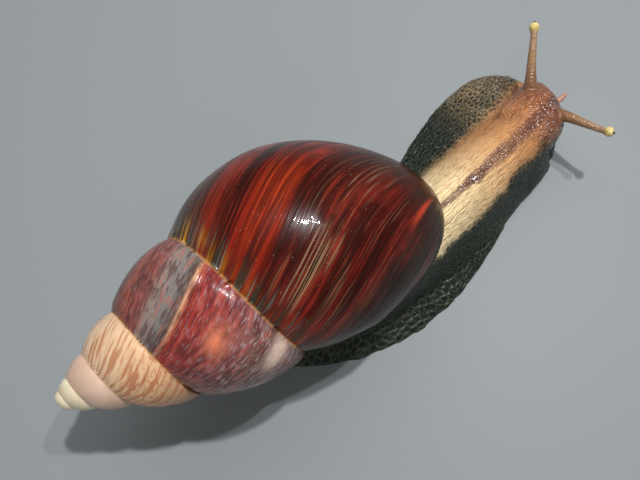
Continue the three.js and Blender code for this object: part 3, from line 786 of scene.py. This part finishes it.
def stalk_share(point):
    """How far this point belongs to an eye stalk, and where along it."""
    share, reach = 0.0, 0.0
    if point.x > STALKS_BEHIND and point.z > STALKS_BELOW:
        for samples in stalk_samples.values():
            k = min(range(STALK_SAMPLES + 1), key=lambda i: (samples[i] - point).length_squared)
            away = (samples[k] - point).length
            radius = upper_radius(k / STALK_SAMPLES)
            near = 1 - smoothstep(away, radius + 0.3, radius + 1.2)
            if near > share:
                share, reach = near, k / STALK_SAMPLES
    return share, reach


def feeler_share(point):
    if point.x <= FEELERS_BEHIND:
        return 0.0
    return 1 - smoothstep(min((sample - point).length for sample in feeler_samples), 1.2, 2.4)


def colour_zones(point, along, across):
    """How far the skin is the pale neck, the brown head and the dark stripe down the back."""
    wobble = 1.3 * noise.noise(Vector((along / 5, across / 5, 2.0)))
    right_edge = lerp(9.6, 6.3, smoothstep(point.x, 34, 84))
    pale = 1 - smoothstep(across + wobble, 8.5, 17.5)
    pale *= smoothstep(across + wobble, -right_edge - 2.2, -right_edge + 1.8)
    pale *= smoothstep(point.x, 14, 26) * smoothstep(point.z, 2.5, 6.0 if across < 0 else 5.0)
    head = smoothstep(point.x + 0.3 * across, 56, 90) * (1 - smoothstep(across, 10.0, 15.0))
    head *= smoothstep(point.z, 3.5, 6.0) * smoothstep(across, -10.5, -7.5)
    stripe_width = lerp(1.3, 3.0, smoothstep(point.x, 30, 60))
    stripe = 1 - smoothstep(abs(across + 0.7 + 0.5 * wobble), 0.3 * stripe_width, stripe_width)
    stripe = max(stripe, smoothstep(point.x, 66, 80) * smoothstep(-across, -2.0, 3.0) * 0.8)
    return pale, head, stripe


def fold_height(along, around, pale):
    """Soft folds, with long furrows on the pale neck."""
    folds = noise.noise(Vector((along / 3.2, around / 5.0, 1.0)))
    folds += 0.6 * noise.noise(Vector((along / 1.4, around / 2.4, 6.0)))
    return folds + pale * 0.9 * noise.noise(Vector((along / 9.0, around / 1.1, 9.0)))


def cell_height(point):
    """Rounded cells, 1.2 mm wide with grooves between them, from 0 to 1."""
    distances = noise.voronoi(Vector([part / CELL_WIDTH for part in point]))[0]
    return smoothstep(distances[1] - distances[0], 0.01, 0.2)


def make_skin(material):
    bm = make_body()
    add_feelers(bm)
    bm = remeshed(bm, SKIN_VOXEL, passes=3)
    bmesh.ops.bisect_plane(bm, geom=bm.verts[:] + bm.edges[:] + bm.faces[:], dist=1e-5,
                           plane_co=(0, 0, 0), plane_no=(0, 0, -1), clear_outer=True)
    bmesh.ops.holes_fill(bm, edges=[e for e in bm.edges if e.is_boundary], sides=0)
    bm.normal_update()
    places, zones, stalks, cells = [], [], [], []
    for vert in bm.verts:
        point = vert.co.copy()
        along, across = place_on_body(point)
        down = max(0.0, back_height(point.x) - point.z)
        around = math.copysign(abs(across) + down * smoothstep(abs(across), 0.0, 3.0), across)
        stalk, reach = stalk_share(point)
        slender = max(stalk, feeler_share(point))
        pale, head, stripe = colour_zones(point, along, across)
        cell = cell_height(point)
        if point.z > FLOOR_MARGIN:
            folds = lerp(FOLD_DEPTH, 0.0, slender) * fold_height(along, around, pale)
            vert.co += vert.normal * (folds + CELL_DEPTH * (cell - 0.6) * head * (1 - slender))
            vert.co.z = max(vert.co.z, LOWEST_FOLD)
        near_base = min((samples[0] - point).length for samples in stalk_samples.values())
        places.append((along, around, point.z))
        zones.append((pale, head, stripe, slender))
        stalks.append((reach, stalk, 1 - smoothstep(near_base, 3.0, 8.0), 1.0))
        cells.append((cell,))
    skin = finish_piece("skin", bm, material)
    mesh = skin.data
    for name, kind, key, values in (
            ("BodyPlace", "FLOAT_VECTOR", "vector", places), ("Zones", "FLOAT_COLOR", "color", zones),
            ("Stalks", "FLOAT_COLOR", "color", stalks), ("Cells", "FLOAT", "value", cells)):
        layer = mesh.attributes.new(name, kind, "POINT")
        layer.data.foreach_set(key, [part for value in values for part in value])
    return skin


# scales of the patterns, in counts per metre
GRAIN = 1100.0                             # 0.9 mm apart
BEADS = 1250.0                             # 0.8 mm apart
NET_PATCHES = 260.0                        # 4 mm across
BLOTCHES = 120.0                           # 8 mm across
FOOT_CLOUDS = 45.0                         # 22 mm across


def skin_material():
    # Live snail skin, moist with slime: dark green-grey cells on the foot, pale tan to orange-brown rows of
    # beads on the neck, and small wet glints, partly from the bumpy coat and partly painted as pale dots. A
    # little light passes through it.
    s = Shader("moist_skin")
    zones = s.add("attribute", attribute_name="Zones")
    pale, head, stripe = s.add("channels", zones["Color"])
    feeler = zones["Alpha"]
    stalk = s.add("attribute", attribute_name="Stalks")
    reach, on_stalk, at_base = s.add("channels", stalk["Color"])
    cells = s.add("attribute", attribute_name="Cells")["Fac"]
    place = s.add("attribute", attribute_name="BodyPlace")["Vector"]
    along, around, height = s.add("parts", place)
    here = s.add("here")

    # rows of small tubercles: long on the neck, wide cells on the left of the foot, close ribs on its right
    sway = s.add("noise", s.add("point", s.add("times", along, 0.1), s.add("times", around, 0.1)))
    swayed = s.add("plus", around, s.add("times", sway, 2.0))
    jitter = s.add("noise", s.add("point", s.add("times", along, 0.5), s.add("times", around, 0.5), 3.0))
    shifted = s.add("plus", along, s.add("times", s.add("minus", jitter, 0.5), 1.6))

    def cells_of(length, width, randomness):
        """Distance from the edge of cells of this length and width in millimetres."""
        where = s.add("point", s.add("over", shifted, length), s.add("over", swayed, width))
        return s.add("cells", where, 1.0, randomness, feature="DISTANCE_TO_EDGE",
                     voronoi_dimensions="2D")["Distance"]

    patchy = s.add("noise", here, NET_PATCHES, 2.0)
    row_lines = s.add("band", cells_of(4.0, 1.05, 0.8), 0.0, s.add("band", patchy, 0.35, 0.65, 0.12, 0.3))
    left_net = s.add("band", cells_of(2.2, 1.9, 0.9), 0.01, s.add("band", patchy, 0.35, 0.65, 0.26, 0.4))
    right_net = s.add("band", cells_of(2.0, 3.0, 0.85), 0.01, s.add("band", patchy, 0.35, 0.65, 0.24, 0.4))
    side = s.add("band", around, -3.0, 3.0)
    net = s.add("plus", s.add("times", left_net, side), s.add("times", right_net, s.add("minus", 1.0, side)))
    grain = s.add("cells", here, GRAIN)["Distance"]
    bead_cells = s.add("cells", here, BEADS)
    beads = s.add("band", bead_cells["Distance"], 0.1, 0.75, 1.0, 0.0)
    chosen = s.add("channels", bead_cells["Color"])[0]
    # painted highlights: pale dots on some of the beads stand for wet glints
    painted_glints = s.add("times", s.add("band", bead_cells["Distance"], 0.16, 0.34, 1.0, 0.0),
                     s.add("band", chosen, 0.5, 0.7))
    blotch = s.add("noise", here, BLOTCHES, 3.0)
    long_lines = s.add("noise", s.add("point", s.add("times", along, 0.06), s.add("times", swayed, 0.95)),
                       Detail=3.0)

    front = s.add("times", s.add("band", along, 112.0, 142.0), s.add("band", around, 14.0, 30.0))
    lines = s.add("mix", front, s.add("mix", side, "#363d2f", "#272e23"), "#8f7a56")
    foot = s.add("mix", net, lines, s.add("mix", side, "#131a13", "#0b110d"))
    foot = s.add("mix", s.add("band", s.add("noise", here, FOOT_CLOUDS, 2.0), 0.45, 0.6, 0.0, 0.5), foot,
                 "#141b14")
    foot = s.add("mix", s.add("band", blotch, 0.45, 0.7, 0.0, 0.3), foot, "#23241a")
    foot = s.add("mix", s.add("times", front, s.add("band", blotch, 0.35, 0.65, 0.0, 0.5)), foot, "#5e4a30")
    # painted highlights: wet glints on the foot's front, painted as pale dots
    foot = s.add("mix", s.add("times", painted_glints, s.add("times", front, 0.8)), foot, "#d6c6a8")
    foot = s.add("mix", s.add("band", height, 0.3, 1.2, 0.3, 0.0), foot, "#5a5844")

    neck = s.add("mix", s.add("band", along, 80.0, 122.0), "#edd9aa", "#d09862")
    neck = s.add("mix", head, neck, "#a25d35")
    neck = s.add("mix", s.add("band", row_lines, 0.0, 1.0, 0.3, 0.0), neck, "#8f5e36")
    neck = s.add("mix", s.ridge(long_lines, 0.5, 0.04), neck, s.add("mix", 0.7, neck, "#7d5230"))
    neck = s.add("mix", s.add("band", around, 20.0, 34.0, 0.0, 0.55), neck, "#6e5638")
    neck = s.add("mix", s.add("times", head, s.add("band", cells, 0.2, 0.8, 0.6, 0.0)), neck, "#7a4330")
    neck = s.add("mix", s.add("times", head, s.add("band", blotch, 0.42, 0.6, 0.0, 0.6)), neck, "#743c28")
    neck = s.add("mix", s.add("times", head, s.add("band", along, 138.0, 152.0, 0.0, 0.6)), neck, "#6a3c26")
    neck = s.add("mix", s.add("times", at_base, s.add("band", cells, 0.2, 0.9, 0.75, 0.5)), neck, "#54301f")
    neck = s.add("mix", s.add("times", stripe, s.add("band", blotch, 0.3, 0.6, 0.95, 0.6)), neck, "#5e362c")
    # where the painted highlight dots go: the stripe from 84 mm along, and the head
    painted_glint_zone = s.add("larger", s.add("times", stripe, s.add("band", along, 84.0, 98.0)),
                   s.add("times", head, 0.6))
    neck = s.add("mix", s.add("times", painted_glints, painted_glint_zone), neck, "#d9c4ba")

    # the pale neck gives way to the dark foot cell by cell
    flesh = s.add("larger", pale, head)
    edge = s.add("band", s.add("plus", flesh, s.add("times", s.add("minus", 0.6, net), 0.22)), 0.1, 0.9)
    colour = s.add("mix", edge, foot, neck)

    tentacle = s.add("ramp", reach, stops=[(0.0, "#54301f"), (0.12, "#6b4227"), (0.5, "#8c6b4c"),
                                           (0.86, "#9b7f66"), (0.9, "#c6ae6c"), (1.0, "#d2bf80")])
    colour = s.add("mix", on_stalk, colour, tentacle)
    colour = s.add("mix", s.add("minus", feeler, on_stalk, use_clamp=True), colour, "#b07e68")

    film = s.add("band", grain, 0.0, 0.5, 0.3, 0.46)
    bare = s.add("minus", 1.0, s.add("times", feeler, 0.7))
    relief = s.add("plus", s.add("times", s.add("times", net, 1.6), s.add("minus", 1.0, edge)),
                   s.add("times", row_lines, s.add("times", edge, 0.6)))
    wet = s.add("larger", stripe, head)
    pebbles = s.add("times", beads, s.add("plus", 0.35, s.add("times", wet, 1.6)))
    bumps = s.add("times", s.add("plus", relief, pebbles), bare)
    s.feed(s.surface.inputs["Base Color"], colour)
    s.feed(s.surface.inputs["Roughness"], film)
    shiny = s.add("larger", wet, s.add("times", front, 0.8))
    s.feed(s.surface.inputs["Coat Weight"], s.add("band", shiny, 0.0, 1.0, 0.18, 1.0))
    s.feed(s.surface.inputs["Coat Roughness"], 0.19)
    glints = s.add("plus", beads, s.add("times", relief, 0.5))
    s.feed(s.surface.inputs["Coat Normal"], s.add("bump", s.add("times", glints, bare), 1.0, 0.0003))
    s.feed(s.surface.inputs["Specular IOR Level"], 0.3)
    s.feed(s.surface.inputs["Subsurface Weight"], 0.12)
    s.feed(s.surface.inputs["Subsurface Radius"], (0.002, 0.001, 0.0006))
    s.feed(s.surface.inputs["Normal"], s.add("bump", bumps, 0.9, 0.0003))
    return s.material


skin = make_skin(skin_material())
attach(skin, "root")
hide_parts("mantle_collar", "tail", "foot_rear", "foot_middle", "foot_front", "body_column", "neck",
            "head", "upper_tentacle_left", "upper_tentacle_right", "lower_tentacle_left",
            "lower_tentacle_right", "mouth_lobe_left", "mouth_lobe_right")


# ---- eyes ----

def eye_material():
    # A wet lens over black pigment: a small, dark, glassy point.
    s = Shader("dark_eye")
    s.feed(s.surface.inputs["Base Color"], "#1b1410")
    s.feed(s.surface.inputs["Roughness"], 0.12)
    s.feed(s.surface.inputs["Coat Weight"], 1.0)
    return s.material


dark_eye = eye_material()
for side, points in UPPER_TENTACLES.items():
    tip, before = Vector(points[-1]), Vector(points[-2])
    bm = bmesh.new()
    bmesh.ops.create_uvsphere(bm, u_segments=20, v_segments=14, radius=EYE_RADIUS)
    bmesh.ops.translate(bm, verts=bm.verts, vec=tip - (tip - before).normalized() * EYE_SUNK)
    eye = finish_piece(f"eye_{side}_ball", bm, dark_eye)
    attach(eye, "root")
    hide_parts(f"eye_{side}")


# ---- floor, light and camera ----

floor_shader = Shader("pale_floor")
floor_shader.feed(floor_shader.surface.inputs["Base Color"], "#7c8183")
floor_shader.feed(floor_shader.surface.inputs["Roughness"], 0.6)
bm = bmesh.new()
bmesh.ops.create_grid(bm, x_segments=1, y_segments=1, size=1500)
floor = finish_piece("floor", bm, floor_shader.material)

# name, place and width in metres, watts, and whether the wet surfaces mirror it
LIGHTS = [
    ("soft_side", (0.3, 1.2, 1.6), 2.0, 19.5, False),
    ("key", (0.166, 0.083, 0.7), 0.03, 3.8, True),
    ("second_key", (0.266, 0.033, 0.68), 0.02, 1.5, True),
    ("fill", (-0.6, -0.9, 0.7), 0.9, 5.0, False),
]
LIGHT_TARGET = Vector((0, 0, 0.02))
for name, place, width, energy, mirrored in LIGHTS:
    data = bpy.data.lights.new(name, "AREA")
    data.shape = "DISK"
    data.size = width
    data.energy = energy
    light = bpy.data.objects.new(name, data)
    light.location = Vector(place)
    light.rotation_euler = (LIGHT_TARGET - light.location).to_track_quat("-Z", "Y").to_euler()
    light.visible_glossy = mirrored
    bpy.context.scene.collection.objects.link(light)

world = bpy.data.worlds.new("studio")
world.use_nodes = True
world.node_tree.nodes["Background"].inputs[0].default_value = hex_colour("#e8ebec")
world.node_tree.nodes["Background"].inputs[1].default_value = 0.13
bpy.context.scene.world = world
bpy.context.scene.view_settings.view_transform = "Standard"

CAMERA_PLACE = Vector((-31.0, -53.7, 203.0))
CAMERA_RIGHT = Vector((0.8660, -0.5, 0.0))
CAMERA_UP = Vector((0.4781, 0.8282, 0.2924))
camera_data = bpy.data.cameras.new("camera")
camera_data.lens = 36.56
camera_data.sensor_width = 36.0
camera_data.clip_start = 0.01
camera_data.clip_end = 10.0
camera = bpy.data.objects.new("camera", camera_data)
turned = Matrix((CAMERA_RIGHT, CAMERA_UP, CAMERA_RIGHT.cross(CAMERA_UP))).transposed().to_4x4()
camera.matrix_world = Matrix.Translation((CAMERA_PLACE - PLAN_CENTRE) * MM) @ turned
bpy.context.scene.collection.objects.link(camera)
bpy.context.scene.camera = camera
